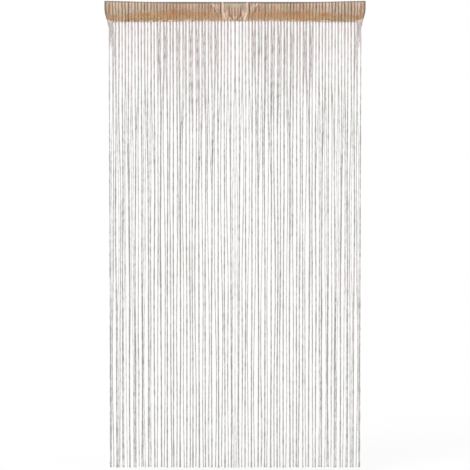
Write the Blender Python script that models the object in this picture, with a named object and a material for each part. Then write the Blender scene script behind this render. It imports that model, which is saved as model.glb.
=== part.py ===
"""A string curtain: a ribbed knitted heading with a pocket for a rod, and a fringe of long strings.

Metres, +Z up. The origin is the middle of the top edge, where a rod carries the curtain, and the
front faces -Y. The curtain hangs still: its cloth is drawn in a little at the lower corners and
gathered at the middle, and its strings drift together and apart on their way down.
"""

import math

import bmesh
import bpy
import numpy as np

MM = 0.001

# The heading, as sewn
TOP_HALF_WIDTH = 699 * MM       # half the width along the top edge
HEADING_DEPTH = 108 * MM        # top edge to lower edge
CORNER_PULL = 14 * MM           # how far a lower corner is drawn in
CORNER_REACH = 80 * MM          # the stretch at each end that is drawn in
CORNER_RISE = 11 * MM           # how far its very end is turned up
TOP_RISE = 5.8 * MM             # how far the top edge rises towards its ends
TOP_RISE_REACH = 280 * MM
MIDDLE_RISE = 4.8 * MM          # how far the gather lifts the lower edge between the two sides
MIDDLE_REACH = (150 * MM, 520 * MM)
END_HEM = 32 * MM               # turned-in cloth at each end, with no ribs
RIB_LOW, RIB_HIGH = 0.5 * MM, 1.0 * MM
HEM_LIFT = 0.6 * MM             # how far the hem stands proud of the rib valleys
SLOW_WAVE = (1.0 * MM, 0.46)    # how far the cloth waves to front and back, and how long a wave is
QUICK_WAVE = (0.5 * MM, 0.19)

# The heading's section, one row for each height: how far the outer face and the inside of the
# pocket lie from the middle. The pocket hangs as an open, drop-shaped tunnel.
SECTION = (
    # place,            height,     outer,      inner height, inner
    ("top fold",        0 * MM,     0 * MM,     -2.2 * MM,    0 * MM),
    ("shoulder",        -3 * MM,    6.5 * MM,   -4.5 * MM,    5.2 * MM),
    ("widest",          -12 * MM,   11.5 * MM,  -12 * MM,     9.5 * MM),
    ("under the rod",   -30 * MM,   10.5 * MM,  -30 * MM,     8.5 * MM),
    ("narrowing",       -50 * MM,   6.0 * MM,   -50 * MM,     4.0 * MM),
    ("pocket seam",     -66 * MM,   1.6 * MM,   -61 * MM,     0 * MM),
)
BAND = (
    # place,            height,     outer
    ("band",            -88 * MM,   1.7 * MM),
    ("lower edge",      -108 * MM,  1.5 * MM),
)

# Folds of the gather at the middle, each there twice, left and right. A fold runs in a straight
# line down the cloth, and its lift is how far it stands out.
GATHER = (
    # fold,               x at top,  x at foot, top,       foot,       half width, lift
    ("outer crease",      78 * MM,   80 * MM,   0 * MM,    -74 * MM,   9 * MM,     -0.8 * MM),
    ("roll beside it",    63 * MM,   60 * MM,   -4 * MM,   -102 * MM,  14 * MM,    2.4 * MM),
    ("leaning fold",      122 * MM,  90 * MM,   -6 * MM,   -62 * MM,   13 * MM,    1.8 * MM),
    ("side of the loop",  28 * MM,   22 * MM,   -34 * MM,  -86 * MM,   11 * MM,    1.6 * MM),
    ("foot of the loop",  20 * MM,   5 * MM,    -84 * MM,  -106 * MM,  11 * MM,    1.8 * MM),
    ("plain middle",      5 * MM,    5 * MM,    -6 * MM,   -40 * MM,   20 * MM,    0.8 * MM),
)

# The strings
DROP = 2494 * MM                # middle of the top edge to the longest string's end
UNEVEN_ENDS = 7 * MM            # how much shorter the shortest string is
STRONG_FROM_MIDDLE = 22 * MM    # the first strong string, on each side of the middle
STRONG_PITCH = 34.3 * MM        # from one strong string to the next
STRONG_PER_SIDE = 20
NARROWING = 0.011               # the share by which the strings draw together at their ends
STRIP_TOP = -HEADING_DEPTH - 0.3 * MM
STRIP_FOOT = STRIP_TOP - 4 * MM
STRIP_HALF_DEPTH = 1.5 * MM
STRIP_HALF_WIDTH = 679 * MM
ROOT_BEND = 20 * MM             # the drop in which a string comes to hang in its own layer
SWAY = 0.5 * MM                 # how far a string swings to front and back on its way down
STRONG_DRIFT = 3.2 * MM         # how far the strings in front drift sideways
PLAIN_DRIFT = 6.6 * MM
OUTERMOST_DRIFT = 0.8 * MM      # the outermost ones hang straighter
BEHIND = 1.2 * MM               # a string behind stays this far off the middle of its own in front
KEPT_CLEAR = 1.5 * MM           # and this far off the middle of the next one in front
TUCKING = 0.12                  # the share of the drop in which it slips back behind its own
SETTLED_AT = 0.16               # the share at which it comes to hang close to its own
THINNED_AT = 0.20               # the share at which a root has thinned to its string

# The four kinds of string. The strong and the plain ones hang in front, the fine ones behind them,
# and the spare ones, where the curtain is dense, behind those.
KINDS = {
    # kind:    root width, width,    depth,     y,         share of the drop at each section
    "strong": (5.2 * MM,   4.8 * MM, 3.6 * MM,  -2.7 * MM, (0.15, 0.31, 0.48, 0.65, 0.82, 1.0)),
    "plain":  (3.2 * MM,   2.8 * MM, 2.6 * MM,  -2.7 * MM, (0.15, 0.31, 0.48, 0.65, 0.82, 1.0)),
    "fine":   (1.9 * MM,   1.9 * MM, 1.9 * MM,  2.4 * MM,  (0.15, 0.36, 0.66, 1.0)),
    "spare":  (1.9 * MM,   1.9 * MM, 1.9 * MM,  5.8 * MM,  (0.10, 0.20, 0.32, 0.65, 1.0)),
}

# How the strings behind move on their way down, from beside their own string in front towards the
# next one. What is in brackets is drawn for each string between its two ends.
HABITS = {
    # habit:     beside its own, leaves at, arrives at,   crosses,       wanders (shares of the way)
    "staying":  (2.85 * MM,      0.10,      (0.20, 0.30), (-0.10, 0.08), 0.16),
    "crossing": (2.85 * MM,      0.10,      (0.28, 0.45), (0.94, 1.12),  0.16),
    "roaming":  (2.85 * MM,      0.10,      (0.25, 0.50), (0.30, 0.70),  0.25),
    "filling":  (2.85 * MM,      0.00,      (0.05, 0.06), (0.15, 0.40),  0.15),
    "spare":    (3.90 * MM,      0.00,      (0.05, 0.06), (0.10, 0.40),  0.12),
}
FINE_HABITS = {"staying": 0.26, "crossing": 0.46, "roaming": 0.28}    # how often each is drawn

# Where the curtain is dense near its top, on both sides of the middle. The gap outside each strong
# string is filled there, and the next one is left open.
DENSE = (
    # stretch,            from,      to,        share of the drop it reaches down
    ("beside the middle", 90 * MM,   140 * MM,  0.05),
    ("half way out",      150 * MM,  345 * MM,  0.15),
    ("further out",       350 * MM,  430 * MM,  0.07),
    ("at the side",       630 * MM,  680 * MM,  0.06),
)


def material(name, colour, roughness):
    """A plain cloth material, its colour in linear light."""
    made = bpy.data.materials.new(name)
    made.use_nodes = True
    shader = made.node_tree.nodes["Principled BSDF"]
    shader.inputs["Base Color"].default_value = (*colour, 1)
    shader.inputs["Roughness"].default_value = roughness
    shader.inputs["Metallic"].default_value = 0
    return made


def finish(name, shape, made_of):
    """Turns a bmesh into a named object, with its faces pointing out."""
    bmesh.ops.recalc_face_normals(shape, faces=shape.faces)
    mesh = bpy.data.meshes.new(name)
    shape.to_mesh(mesh)
    shape.free()
    mesh.materials.append(made_of)
    obj = bpy.data.objects.new(name, mesh)
    bpy.context.scene.collection.objects.link(obj)
    return obj


def smooth_step(low, high, value):
    share = np.clip((value - low) / (high - low), 0, 1)
    return share * share * (3 - 2 * share)


def raised(x, z):
    """How far a point hangs above its place in a curtain that hangs straight: the top edge rises to
    its ends, and the heading is a little shorter at its gathered middle."""
    down = np.clip(-z / HEADING_DEPTH, 0, 1)
    top = TOP_RISE * smooth_step(TOP_HALF_WIDTH - TOP_RISE_REACH, TOP_HALF_WIDTH, abs(x))
    middle = MIDDLE_RISE * (1 - smooth_step(*MIDDLE_REACH, abs(x)))
    return top * (1 - down) + middle * down


# ---- the strings' plan: where each one hangs ----


class String:
    """One string: its kind, the place of its root, its way down and its length."""

    def __init__(self, kind, root, way, length, phase):
        self.kind = kind
        self.root = root
        self.way = way
        self.length = length
        self.phase = phase
        self.root_width, self.width, self.depth, self.layer, self.sections = KINDS[kind]

    def place(self, share):
        """x, y, z at a share of the drop below the strip."""
        x = self.way(share) * (1 - NARROWING * share)
        y = self.layer + SWAY * np.sin(5 * share + self.phase)
        root_z = STRIP_FOOT + raised(self.root, STRIP_FOOT)
        return x, y, root_z + (STRIP_FOOT - root_z - self.length) * share


def drift(dice, reach, turns=0.75):
    """A slow sideways drift that starts at nothing: three waves of falling height."""
    phases = dice.random(3)

    def moved(share):
        waves = sum(np.sin(math.tau * (turns * n * share + phases[n - 1])) / n for n in (1, 2, 3))
        return reach * smooth_step(0.03, 0.30, share) * waves / 1.6

    return moved


def front_way(dice, root, reach):
    """The way down of a string in front: straight from its root, but for a slow drift."""
    moved = drift(dice, reach)
    return lambda share: root + moved(share)


def back_way(dice, own, other, out, habit, tucks_in=1.0, stays_to=0.0):
    """The way down of a string behind. It moves from beside its own string in front towards the
    other one, never past either. It stays beside its own down to the share stays_to, and from
    tucks_in on it slips back behind it."""
    beside, leaves, arrives, crosses, wanders = HABITS[habit]
    leaves = max(leaves, stays_to)
    arrives, crosses = dice.uniform(*arrives), dice.uniform(*crosses)
    wandered = drift(dice, wanders, 1.5)

    def way(share):
        near = own(share) + out * (beside + (BEHIND - beside) * smooth_step(0, SETTLED_AT, share))
        far = other(share) - out * KEPT_CLEAR
        tucked = smooth_step(tucks_in, tucks_in + TUCKING, share)
        crossed = (crosses * smooth_step(leaves, arrives, share) + wandered(share)) * (1 - tucked)
        return near + (far - near) * np.clip(crossed, 0, 1)

    return way


def dense_down_to(x):
    """The share of the drop that the dense stretch at x reaches down to, or 0 outside them."""
    return max([reach for _, low, high, reach in DENSE if low <= abs(x) <= high], default=0)


def middle_way(share):
    return 0 * share


def half_plan(side, dice):
    """The strings on one side of the middle. The middle string isn't among them."""
    plan = []

    def add(kind, root, way):
        length = DROP + STRIP_FOOT - UNEVEN_ENDS * dice.random() ** 2
        phase = math.tau * dice.random()
        plan.append(String(kind, side * root, lambda share: side * way(share), length, phase))

    strong_roots = [STRONG_FROM_MIDDLE + k * STRONG_PITCH for k in range(STRONG_PER_SIDE)]
    strong = [front_way(dice, root, STRONG_DRIFT) for root in strong_roots[:-1]]
    strong.append(front_way(dice, strong_roots[-1], OUTERMOST_DRIFT))
    plain_roots = [0.0] + [root + STRONG_PITCH / 2 for root in strong_roots[:-1]]
    plain = [middle_way] + [front_way(dice, root, PLAIN_DRIFT) for root in plain_roots[1:]]
    for root, way in zip(strong_roots, strong):
        add("strong", root, way)
    for root, way in zip(plain_roots[1:], plain[1:]):
        add("plain", root, way)

    def fine_way(own, other, out, reach):
        if reach and out < 0:
            return back_way(dice, own, other, out, "filling", tucks_in=reach)
        habit = dice.choice(list(FINE_HABITS), p=list(FINE_HABITS.values()))
        return back_way(dice, own, other, out, habit, stays_to=reach)

    fine_from, spare_from = HABITS["roaming"][0], HABITS["spare"][0]
    for k, (root, own) in enumerate(zip(plain_roots, plain)):
        reach = dense_down_to(root)
        if k > 0:
            add("fine", root - fine_from, fine_way(own, strong[k - 1], -1, reach))
        add("fine", root + fine_from, fine_way(own, strong[k], 1, reach))
    for k, (root, own) in enumerate(zip(strong_roots, strong)):
        reach = dense_down_to(root)
        if reach and k + 1 < STRONG_PER_SIDE:
            add("spare", root + spare_from, back_way(dice, own, plain[k + 1], 1, "spare", reach))
    return plan


def string_plan():
    """Every string, from left to right. The two sides mirror each other, as in a folded cloth."""
    right = half_plan(1, np.random.default_rng(11))
    left = half_plan(-1, np.random.default_rng(11))
    middle = String("plain", 0.0, middle_way, DROP + STRIP_FOOT, 0)
    return sorted([*left, middle, *right], key=lambda string: string.root)


# ---- the heading ----


def drawn_in(x, z):
    """Where a point of the flat cloth lies across, once the lower corners are drawn in."""
    share = smooth_step(TOP_HALF_WIDTH - CORNER_REACH, TOP_HALF_WIDTH, abs(x))
    pull = CORNER_PULL * smooth_step(-40 * MM, -HEADING_DEPTH * 1.25, z)
    return x - math.copysign(share * pull, x)


def turned_up(x, z):
    """How far a point of the end hem is raised with the turned-up lower corner."""
    at_end = smooth_step(TOP_HALF_WIDTH - END_HEM, TOP_HALF_WIDTH, abs(x))
    return CORNER_RISE * at_end * smooth_step(-60 * MM, -HEADING_DEPTH, z)


def wave(x, z):
    """How far the whole cloth lies to the back at x; it hangs straighter lower down."""
    total = 0
    for height, length in (SLOW_WAVE, QUICK_WAVE):
        total += height * math.sin(math.tau * x / length + length * 9)
    return total * (1 + z / HEADING_DEPTH * 0.6)


def gather(x, z):
    """How far the folds of the gather stand out of the cloth at a point."""
    lift = 0
    for _, x_top, x_foot, top, foot, half_width, height in GATHER:
        if not foot <= z <= top:
            continue
        along = (top - z) / (top - foot)
        middle = x_top + (x_foot - x_top) * along
        away = abs(abs(x) - middle) / half_width
        if away < 1:
            lift += height * (0.5 + 0.5 * math.cos(math.pi * away))
    return lift


def heading(ribs):
    """The ribbed band, folded into an open pocket above and sewn double below."""
    dice = np.random.default_rng(5)
    hem_edge = TOP_HALF_WIDTH - END_HEM
    inner_ribs = [x for x in ribs if abs(x) < hem_edge - 4 * MM]
    stations = [(x, dice.uniform(RIB_LOW, RIB_HIGH)) for x in inner_ribs]
    stations += [((a + b) / 2, 0) for a, b in zip(inner_ribs, inner_ribs[1:])]
    for x in (hem_edge, TOP_HALF_WIDTH - END_HEM / 2, TOP_HALF_WIDTH):
        stations += [(-x, HEM_LIFT), (x, HEM_LIFT)]
    stations.sort()

    shape = bmesh.new()

    def point(x, z, y):
        across = drawn_in(x, z)
        return shape.verts.new((across, wave(x, z) + y, z + raised(across, z) + turned_up(x, z)))

    def outer_ring(x, rib):
        """The fold, then the front face's points going down, then the back face's."""
        rows = [(z, half) for _, z, half, _, _ in SECTION[1:]] + [(z, half) for _, z, half in BAND]
        fold = point(x, 0, 0)
        front = [point(x, z, -(half + rib + gather(x, z))) for z, half in rows]
        back = [point(x, z, half + rib + 0.4 * max(0, gather(x, z))) for z, half in rows]
        return fold, front, back

    def inner_ring(x):
        rows = [(z, half) for _, _, _, z, half in SECTION]
        top, foot = point(x, rows[0][0], 0), point(x, rows[-1][0], 0)
        front = [point(x, z, -half) for z, half in rows[1:-1]]
        back = [point(x, z, half) for z, half in rows[1:-1]]
        return top, front, back, foot

    def bridge(a, b):
        for i in range(len(a)):
            j = (i + 1) % len(a)
            shape.faces.new((a[i], a[j], b[j], b[i]))

    outer = [outer_ring(x, rib) for x, rib in stations]
    for (fold_a, front_a, back_a), (fold_b, front_b, back_b) in zip(outer, outer[1:]):
        bridge([fold_a, *front_a, *reversed(back_a)], [fold_b, *front_b, *reversed(back_b)])
    inner = [inner_ring(x) for x in np.linspace(-TOP_HALF_WIDTH, TOP_HALF_WIDTH, 15)]
    for (top_a, front_a, back_a, foot_a), (top_b, front_b, back_b, foot_b) in zip(inner, inner[1:]):
        bridge([top_b, *front_b, foot_b, *reversed(back_b)], [top_a, *front_a, foot_a, *reversed(back_a)])
    for (fold, front, back), (top, in_front, in_back, foot) in (
        (outer[0], inner[0]),
        (outer[-1], inner[-1]),
    ):
        seam = len(SECTION) - 2
        for face, inside in ((front, in_front), (back, in_back)):
            edge, lip = [fold, *face[: seam + 1]], [top, *inside, foot]
            for i in range(seam + 1):
                shape.faces.new((edge[i], edge[i + 1], lip[i + 1], lip[i]))
        shape.faces.new((front[seam], back[seam], foot))
        for i in range(seam, len(front) - 1):
            shape.faces.new((front[i], front[i + 1], back[i + 1], back[i]))
    return finish("heading", shape, material("knitted_tan_band", (0.50, 0.32, 0.19), 0.85))


# ---- the strings ----


def strings(plan):
    """A narrow strip along the heading's lower edge, with every string drawn down out of it."""
    shape = bmesh.new()

    def strip_ring(x):
        corners = ((-1, STRIP_FOOT), (1, STRIP_FOOT), (1, STRIP_TOP), (-1, STRIP_TOP))
        up = raised(x, STRIP_TOP)
        return [shape.verts.new((x, side * STRIP_HALF_DEPTH, z + up)) for side, z in corners]

    def string_ring(string, share):
        x, y, z = string.place(share)
        thinned = smooth_step(0, THINNED_AT, share)
        half_width = (string.root_width + (string.width - string.root_width) * thinned) / 2
        half_depth = string.depth / 2
        corners = ((-1, -1), (1, -1), (1, 1), (-1, 1))
        return [shape.verts.new((x + i * half_width, y + j * half_depth, z)) for i, j in corners]

    def draw_down(string, root):
        """The sections of one string below its root, closed at its end."""
        ring = root
        bend = ROOT_BEND / string.length
        for share in (bend, *string.sections):
            lower = string_ring(string, share)
            for i in range(4):
                j = (i + 1) % 4
                shape.faces.new((ring[i], ring[j], lower[j], lower[i]))
            ring = lower
        shape.faces.new(ring)

    edges = [(-STRIP_HALF_WIDTH, None)]
    for string in plan:
        half_root = string.root_width / 2
        edges += [(string.root - half_root, string), (string.root + half_root, None)]
    edges.append((STRIP_HALF_WIDTH, None))
    rings = [strip_ring(x) for x, _ in edges]
    for (_, string), a, b in zip(edges, rings, rings[1:]):
        for i in (1, 2, 3):
            j = (i + 1) % 4
            shape.faces.new((a[i], a[j], b[j], b[i]))
        if string is None:
            shape.faces.new((a[0], a[1], b[1], b[0]))
        else:
            draw_down(string, [a[0], b[0], b[1], a[1]])
    shape.faces.new(rings[0])
    shape.faces.new(rings[-1])
    return finish("strings", shape, material("taupe_yarn", (0.31, 0.28, 0.26), 0.8))


for old in list(bpy.data.objects):
    bpy.data.objects.remove(old)
plan = string_plan()
heading([string.root for string in plan if string.kind in ("strong", "plain")])
strings(plan)
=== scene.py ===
"""A string curtain: a ribbed knitted heading with a pocket for a rod, and a fringe of long strings.

Metres, +Z up. The origin is the middle of the heading's top edge, and the front faces -Y.
"""

import math

import bmesh
import bpy
import numpy as np
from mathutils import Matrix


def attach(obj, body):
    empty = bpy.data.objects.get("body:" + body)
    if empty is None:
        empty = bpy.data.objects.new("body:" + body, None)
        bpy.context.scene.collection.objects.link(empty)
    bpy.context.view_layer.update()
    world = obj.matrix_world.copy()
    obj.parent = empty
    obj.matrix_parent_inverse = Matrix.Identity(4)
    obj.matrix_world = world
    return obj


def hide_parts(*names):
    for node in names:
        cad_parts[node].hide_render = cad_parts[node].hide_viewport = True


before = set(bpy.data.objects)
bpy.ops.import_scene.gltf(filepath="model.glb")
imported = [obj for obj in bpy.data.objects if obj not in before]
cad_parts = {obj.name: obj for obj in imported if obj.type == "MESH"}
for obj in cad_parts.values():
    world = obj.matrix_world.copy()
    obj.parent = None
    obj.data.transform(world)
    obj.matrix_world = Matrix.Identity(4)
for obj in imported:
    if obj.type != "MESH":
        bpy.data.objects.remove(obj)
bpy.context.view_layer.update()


# ==== The strings ====
# 179 lengths of loosely twisted two-ply polyester yarn, cut to one length. They are knitted into
# the heading at their roots and hang free below it, turning slowly and drifting a little aside.

MM = 0.001
HEADING_DEPTH = 108 * MM        # the heading's top edge to its lower edge
DROP = 2494 * MM                # the middle of its top edge to the longest string's end
TOP_HALF_WIDTH = 699 * MM       # half its width along the top edge
TOP_RISE = 5.8 * MM             # how far the top edge rises towards its ends
TOP_RISE_REACH = 280 * MM
MIDDLE_RISE = 4.8 * MM          # how far the gather lifts the lower edge between the two sides
MIDDLE_REACH = (150 * MM, 520 * MM)
UNEVEN_ENDS = 7 * MM            # how much shorter the shortest string is
STRONG_FROM_MIDDLE = 22 * MM    # the first strong string, on each side of the middle
STRONG_PITCH = 34.3 * MM        # from one strong string to the next
STRONG_PER_SIDE = 20
NARROWING = 0.011               # the share by which the strings draw together at their ends
STRIP_TOP = -HEADING_DEPTH - 0.3 * MM
STRIP_FOOT = STRIP_TOP - 4 * MM
SWAY = 0.5 * MM                 # how far a string swings to front and back on its way down
STRONG_DRIFT = 3.2 * MM         # how far the strings in front drift sideways
PLAIN_DRIFT = 6.6 * MM
OUTERMOST_DRIFT = 0.8 * MM      # the outermost ones hang straighter
BEHIND = 1.2 * MM               # a string behind stays this far off the middle of its own in front
KEPT_CLEAR = 1.5 * MM           # and this far off the middle of the next one in front
TUCKING = 0.12                  # the share of the drop in which it slips back behind its own
SETTLED_AT = 0.16               # the share at which it comes to hang close to its own
THINNED_AT = 0.20               # the share at which a root has thinned to its string
LAYERS = {"strong": -2.7 * MM, "plain": -2.7 * MM, "fine": 2.4 * MM, "spare": 5.8 * MM}

# How the strings behind move on their way down, from beside their own string in front towards the
# next one. What is in brackets is drawn for each string between its two ends.
HABITS = {
    # habit:     beside its own, leaves at, arrives at,   crosses,       wanders (shares of the way)
    "staying":  (2.85 * MM,      0.10,      (0.20, 0.30), (-0.10, 0.08), 0.16),
    "crossing": (2.85 * MM,      0.10,      (0.28, 0.45), (0.94, 1.12),  0.16),
    "roaming":  (2.85 * MM,      0.10,      (0.25, 0.50), (0.30, 0.70),  0.25),
    "filling":  (2.85 * MM,      0.00,      (0.05, 0.06), (0.15, 0.40),  0.15),
    "spare":    (3.90 * MM,      0.00,      (0.05, 0.06), (0.10, 0.40),  0.12),
}
FINE_HABITS = {"staying": 0.26, "crossing": 0.46, "roaming": 0.28}    # how often each is drawn


def table(lengths, *rows):
    """Rows of a name and numbers. As many of the first numbers as lengths says are millimetres."""
    return [(name, *(n * MM for n in numbers[:lengths]), *numbers[lengths:])
            for name, *numbers in rows]


# Where the curtain is dense near its top, on both sides of the middle. The gap outside each strong
# string is filled there, and the next one is left open.
DENSE = table(2,
    # stretch,            from, to,  share of the drop it reaches down
    ("beside the middle", 90,   140, 0.05),
    ("half way out",      150,  345, 0.15),
    ("further out",       350,  430, 0.07),
    ("at the side",       630,  680, 0.06),
)


def stacked(*parts):
    return np.stack(parts, axis=-1)


def smooth_step(low, high, value):
    share = np.clip((value - low) / (high - low), 0, 1)
    return share * share * (3 - 2 * share)


def raised(x, z):
    """How far a point hangs above its place in a curtain that hangs straight: the top edge rises to
    its ends, and the heading is a little shorter at its gathered middle."""
    down = np.clip(-z / HEADING_DEPTH, 0, 1)
    top = TOP_RISE * smooth_step(TOP_HALF_WIDTH - TOP_RISE_REACH, TOP_HALF_WIDTH, abs(x))
    middle = MIDDLE_RISE * (1 - smooth_step(*MIDDLE_REACH, abs(x)))
    return top * (1 - down) + middle * down


class String:
    """One string: its kind, the place of its root, its way down and its length."""

    def __init__(self, kind, root, way, length, phase):
        self.kind = kind
        self.root = root
        self.way = way
        self.length = length
        self.phase = phase

    def place(self, share):
        """x, y, z at a share of the drop below the strip that holds the roots."""
        x = self.way(share) * (1 - NARROWING * share)
        y = LAYERS[self.kind] + SWAY * np.sin(5 * share + self.phase)
        root_z = STRIP_FOOT + raised(self.root, STRIP_FOOT)
        return x, y, root_z + (STRIP_FOOT - root_z - self.length) * share


def drift(dice, reach, turns=0.75):
    """A slow sideways drift that starts at nothing: three waves of falling height."""
    phases = dice.random(3)

    def moved(share):
        waves = sum(np.sin(math.tau * (turns * n * share + phases[n - 1])) / n for n in (1, 2, 3))
        return reach * smooth_step(0.03, 0.30, share) * waves / 1.6

    return moved


def front_way(dice, root, reach):
    """The way down of a string in front: straight from its root, but for a slow drift."""
    moved = drift(dice, reach)
    return lambda share: root + moved(share)


def back_way(dice, own, other, out, habit, tucks_in=1.0, stays_to=0.0):
    """The way down of a string behind. It moves from beside its own string in front towards the
    other one, never past either. It stays beside its own down to the share stays_to, and from
    tucks_in on it slips back behind it."""
    beside, leaves, arrives, crosses, wanders = HABITS[habit]
    leaves = max(leaves, stays_to)
    arrives, crosses = dice.uniform(*arrives), dice.uniform(*crosses)
    wandered = drift(dice, wanders, 1.5)

    def way(share):
        near = own(share) + out * (beside + (BEHIND - beside) * smooth_step(0, SETTLED_AT, share))
        far = other(share) - out * KEPT_CLEAR
        tucked = smooth_step(tucks_in, tucks_in + TUCKING, share)
        crossed = (crosses * smooth_step(leaves, arrives, share) + wandered(share)) * (1 - tucked)
        return near + (far - near) * np.clip(crossed, 0, 1)

    return way


def dense_down_to(x):
    """The share of the drop that the dense stretch at x reaches down to, or 0 outside them."""
    return max([reach for _, low, high, reach in DENSE if low <= abs(x) <= high], default=0)


def middle_way(share):
    return 0 * share


def half_plan(side, dice):
    """The strings on one side of the middle. The middle string isn't among them."""
    plan = []

    def add(kind, root, way):
        length = DROP + STRIP_FOOT - UNEVEN_ENDS * dice.random() ** 2
        phase = math.tau * dice.random()
        plan.append(String(kind, side * root, lambda share: side * way(share), length, phase))

    strong_roots = [STRONG_FROM_MIDDLE + k * STRONG_PITCH for k in range(STRONG_PER_SIDE)]
    strong = [front_way(dice, root, STRONG_DRIFT) for root in strong_roots[:-1]]
    strong.append(front_way(dice, strong_roots[-1], OUTERMOST_DRIFT))
    plain_roots = [0.0] + [root + STRONG_PITCH / 2 for root in strong_roots[:-1]]
    plain = [middle_way] + [front_way(dice, root, PLAIN_DRIFT) for root in plain_roots[1:]]
    for root, way in zip(strong_roots, strong):
        add("strong", root, way)
    for root, way in zip(plain_roots[1:], plain[1:]):
        add("plain", root, way)

    def fine_way(own, other, out, reach):
        if reach and out < 0:
            return back_way(dice, own, other, out, "filling", tucks_in=reach)
        habit = dice.choice(list(FINE_HABITS), p=list(FINE_HABITS.values()))
        return back_way(dice, own, other, out, habit, stays_to=reach)

    fine_from, spare_from = HABITS["roaming"][0], HABITS["spare"][0]
    for k, (root, own) in enumerate(zip(plain_roots, plain)):
        reach = dense_down_to(root)
        if k > 0:
            add("fine", root - fine_from, fine_way(own, strong[k - 1], -1, reach))
        add("fine", root + fine_from, fine_way(own, strong[k], 1, reach))
    for k, (root, own) in enumerate(zip(strong_roots, strong)):
        reach = dense_down_to(root)
        if reach and k + 1 < STRONG_PER_SIDE:
            add("spare", root + spare_from, back_way(dice, own, plain[k + 1], 1, "spare", reach))
    return plan


right_half = half_plan(1, np.random.default_rng(11))
left_half = half_plan(-1, np.random.default_rng(11))
middle_string = String("plain", 0.0, middle_way, DROP + STRIP_FOOT, 0)
strings = sorted([*left_half, middle_string, *right_half], key=lambda string: string.root)

# How each kind of yarn is made. A yarn is flat, so it looks wide and narrow by turns as it turns,
# and it is fuller at its root.
YARNS = {
    # kind:    wide,     narrow,   fuller, half a turn, ring to ring, sides, dye
    "strong": (7.2 * MM, 5.2 * MM, 0.15,   96 * MM,     6.4 * MM,     6,     0.22),
    "plain":  (4.0 * MM, 2.6 * MM, 0.60,   83 * MM,     6.4 * MM,     6,     0.80),
    "fine":   (4.0 * MM, 2.8 * MM, 0.10,   71 * MM,     10 * MM,      4,     1.42),
    "spare":  (4.6 * MM, 3.4 * MM, 0.00,   71 * MM,     10 * MM,      4,     1.30),
}
DYE_SPREAD = 0.3                # how far one string's shade is from its kind's, 0 dark to 1 pale
ROOT_DEPTH = 2 * MM             # how far a root reaches up into the strip
ROOT_BEND = 20 * MM             # the drop in which a string comes to hang in its own layer
LUMPS = ((0.10, 430 * MM), (0.11, 170 * MM), (0.10, 37 * MM))    # how much thicker, how long
LUMP_SPREAD = (0.85, 1.15)      # a string's own lumps are this much shorter or longer
LUMPS_GROW = (-200 * MM, 600 * MM)   # the drop over which they grow to their full size
TURN_DRIFT = (1.3, 410 * MM)    # how many radians its turning runs ahead or back, over what length
BLOOM = 0.35                    # how far a cut end opens
BLOOM_OVER = 5 * MM


def ring_quads(rings, sides):
    """The four-sided faces of a tube of rings, and of its two closed ends, as point numbers."""
    ring, side = np.meshgrid(np.arange(rings - 1), np.arange(sides), indexing="ij")
    here, beside = ring * sides + side, ring * sides + (side + 1) % sides
    wall = stacked(here, beside, beside + sides, here + sides).reshape(-1, 4)
    cap = np.array([(0, k + 3, k + 2, k + 1) for k in range(0, sides - 2, 2)])
    return np.concatenate([wall, cap, (rings - 1) * sides + cap])


def quad_mesh(name, points, quads, material, maps, values):
    """A smooth piece of four-sided faces. maps are its UV maps, one pair of numbers for each corner
    of each face, and values are what its points carry for the material."""
    mesh = bpy.data.meshes.new(name)
    mesh.vertices.add(len(points))
    mesh.vertices.foreach_set("co", np.ascontiguousarray(points, np.float32).ravel())
    mesh.loops.add(quads.size)
    mesh.loops.foreach_set("vertex_index", np.ascontiguousarray(quads, np.int32).ravel())
    mesh.polygons.add(len(quads))
    mesh.polygons.foreach_set("loop_start", np.arange(0, quads.size, 4, dtype=np.int32))
    mesh.update(calc_edges=True)
    mesh.shade_smooth()
    for map_name, corners in maps.items():
        mesh.uv_layers.new(name=map_name).data.foreach_set("uv", corners.astype(np.float32).ravel())
    for value_name, each in values.items():
        kind, field = ("FLOAT", "value") if each.ndim == 1 else ("FLOAT_VECTOR", "vector")
        made = mesh.attributes.new(value_name, kind, "POINT")
        made.data.foreach_set(field, each.astype(np.float32).ravel())
    shape = bmesh.new()
    shape.from_mesh(mesh)
    bmesh.ops.recalc_face_normals(shape, faces=shape.faces)
    shape.to_mesh(mesh)
    shape.free()
    mesh.materials.append(material)
    piece = bpy.data.objects.new(name, mesh)
    bpy.context.scene.collection.objects.link(piece)
    return piece


def yarn_tube(string, dice):
    """The points of one string's yarn, ring by ring, and how far down each ring is."""
    wide, narrow, fuller, half_turn, gap, sides, _ = YARNS[string.kind]
    rings = round(string.length / gap) + 1
    down = np.linspace(-ROOT_DEPTH, string.length, rings)
    x, y, z = string.place(down / string.length)
    y = y * smooth_step(-ROOT_DEPTH, ROOT_BEND, down)
    full = 1 + fuller * smooth_step(THINNED_AT, 0, down / string.length)
    for much, long in LUMPS:
        lumps = down / (long * dice.uniform(*LUMP_SPREAD)) + dice.random()
        full += much * smooth_step(*LUMPS_GROW, down) * np.sin(math.tau * lumps)
    full += BLOOM * np.exp((down - string.length) / BLOOM_OVER)
    turned = math.pi * down / half_turn + math.tau * dice.random()
    turned += TURN_DRIFT[0] * np.sin(math.tau * (down / TURN_DRIFT[1] + dice.random()))
    around = math.tau * np.arange(sides) / sides
    out_x, out_y = wide / 2 * np.cos(around), narrow / 2 * np.sin(around)
    turned, full = turned[:, None], full[:, None]
    ring_x = x[:, None] + full * (out_x * np.cos(turned) - out_y * np.sin(turned))
    ring_y = y[:, None] + full * (out_x * np.sin(turned) + out_y * np.cos(turned))
    ring_z = np.repeat(z[:, None], sides, axis=1)
    return stacked(ring_x, ring_y, ring_z), down


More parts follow.
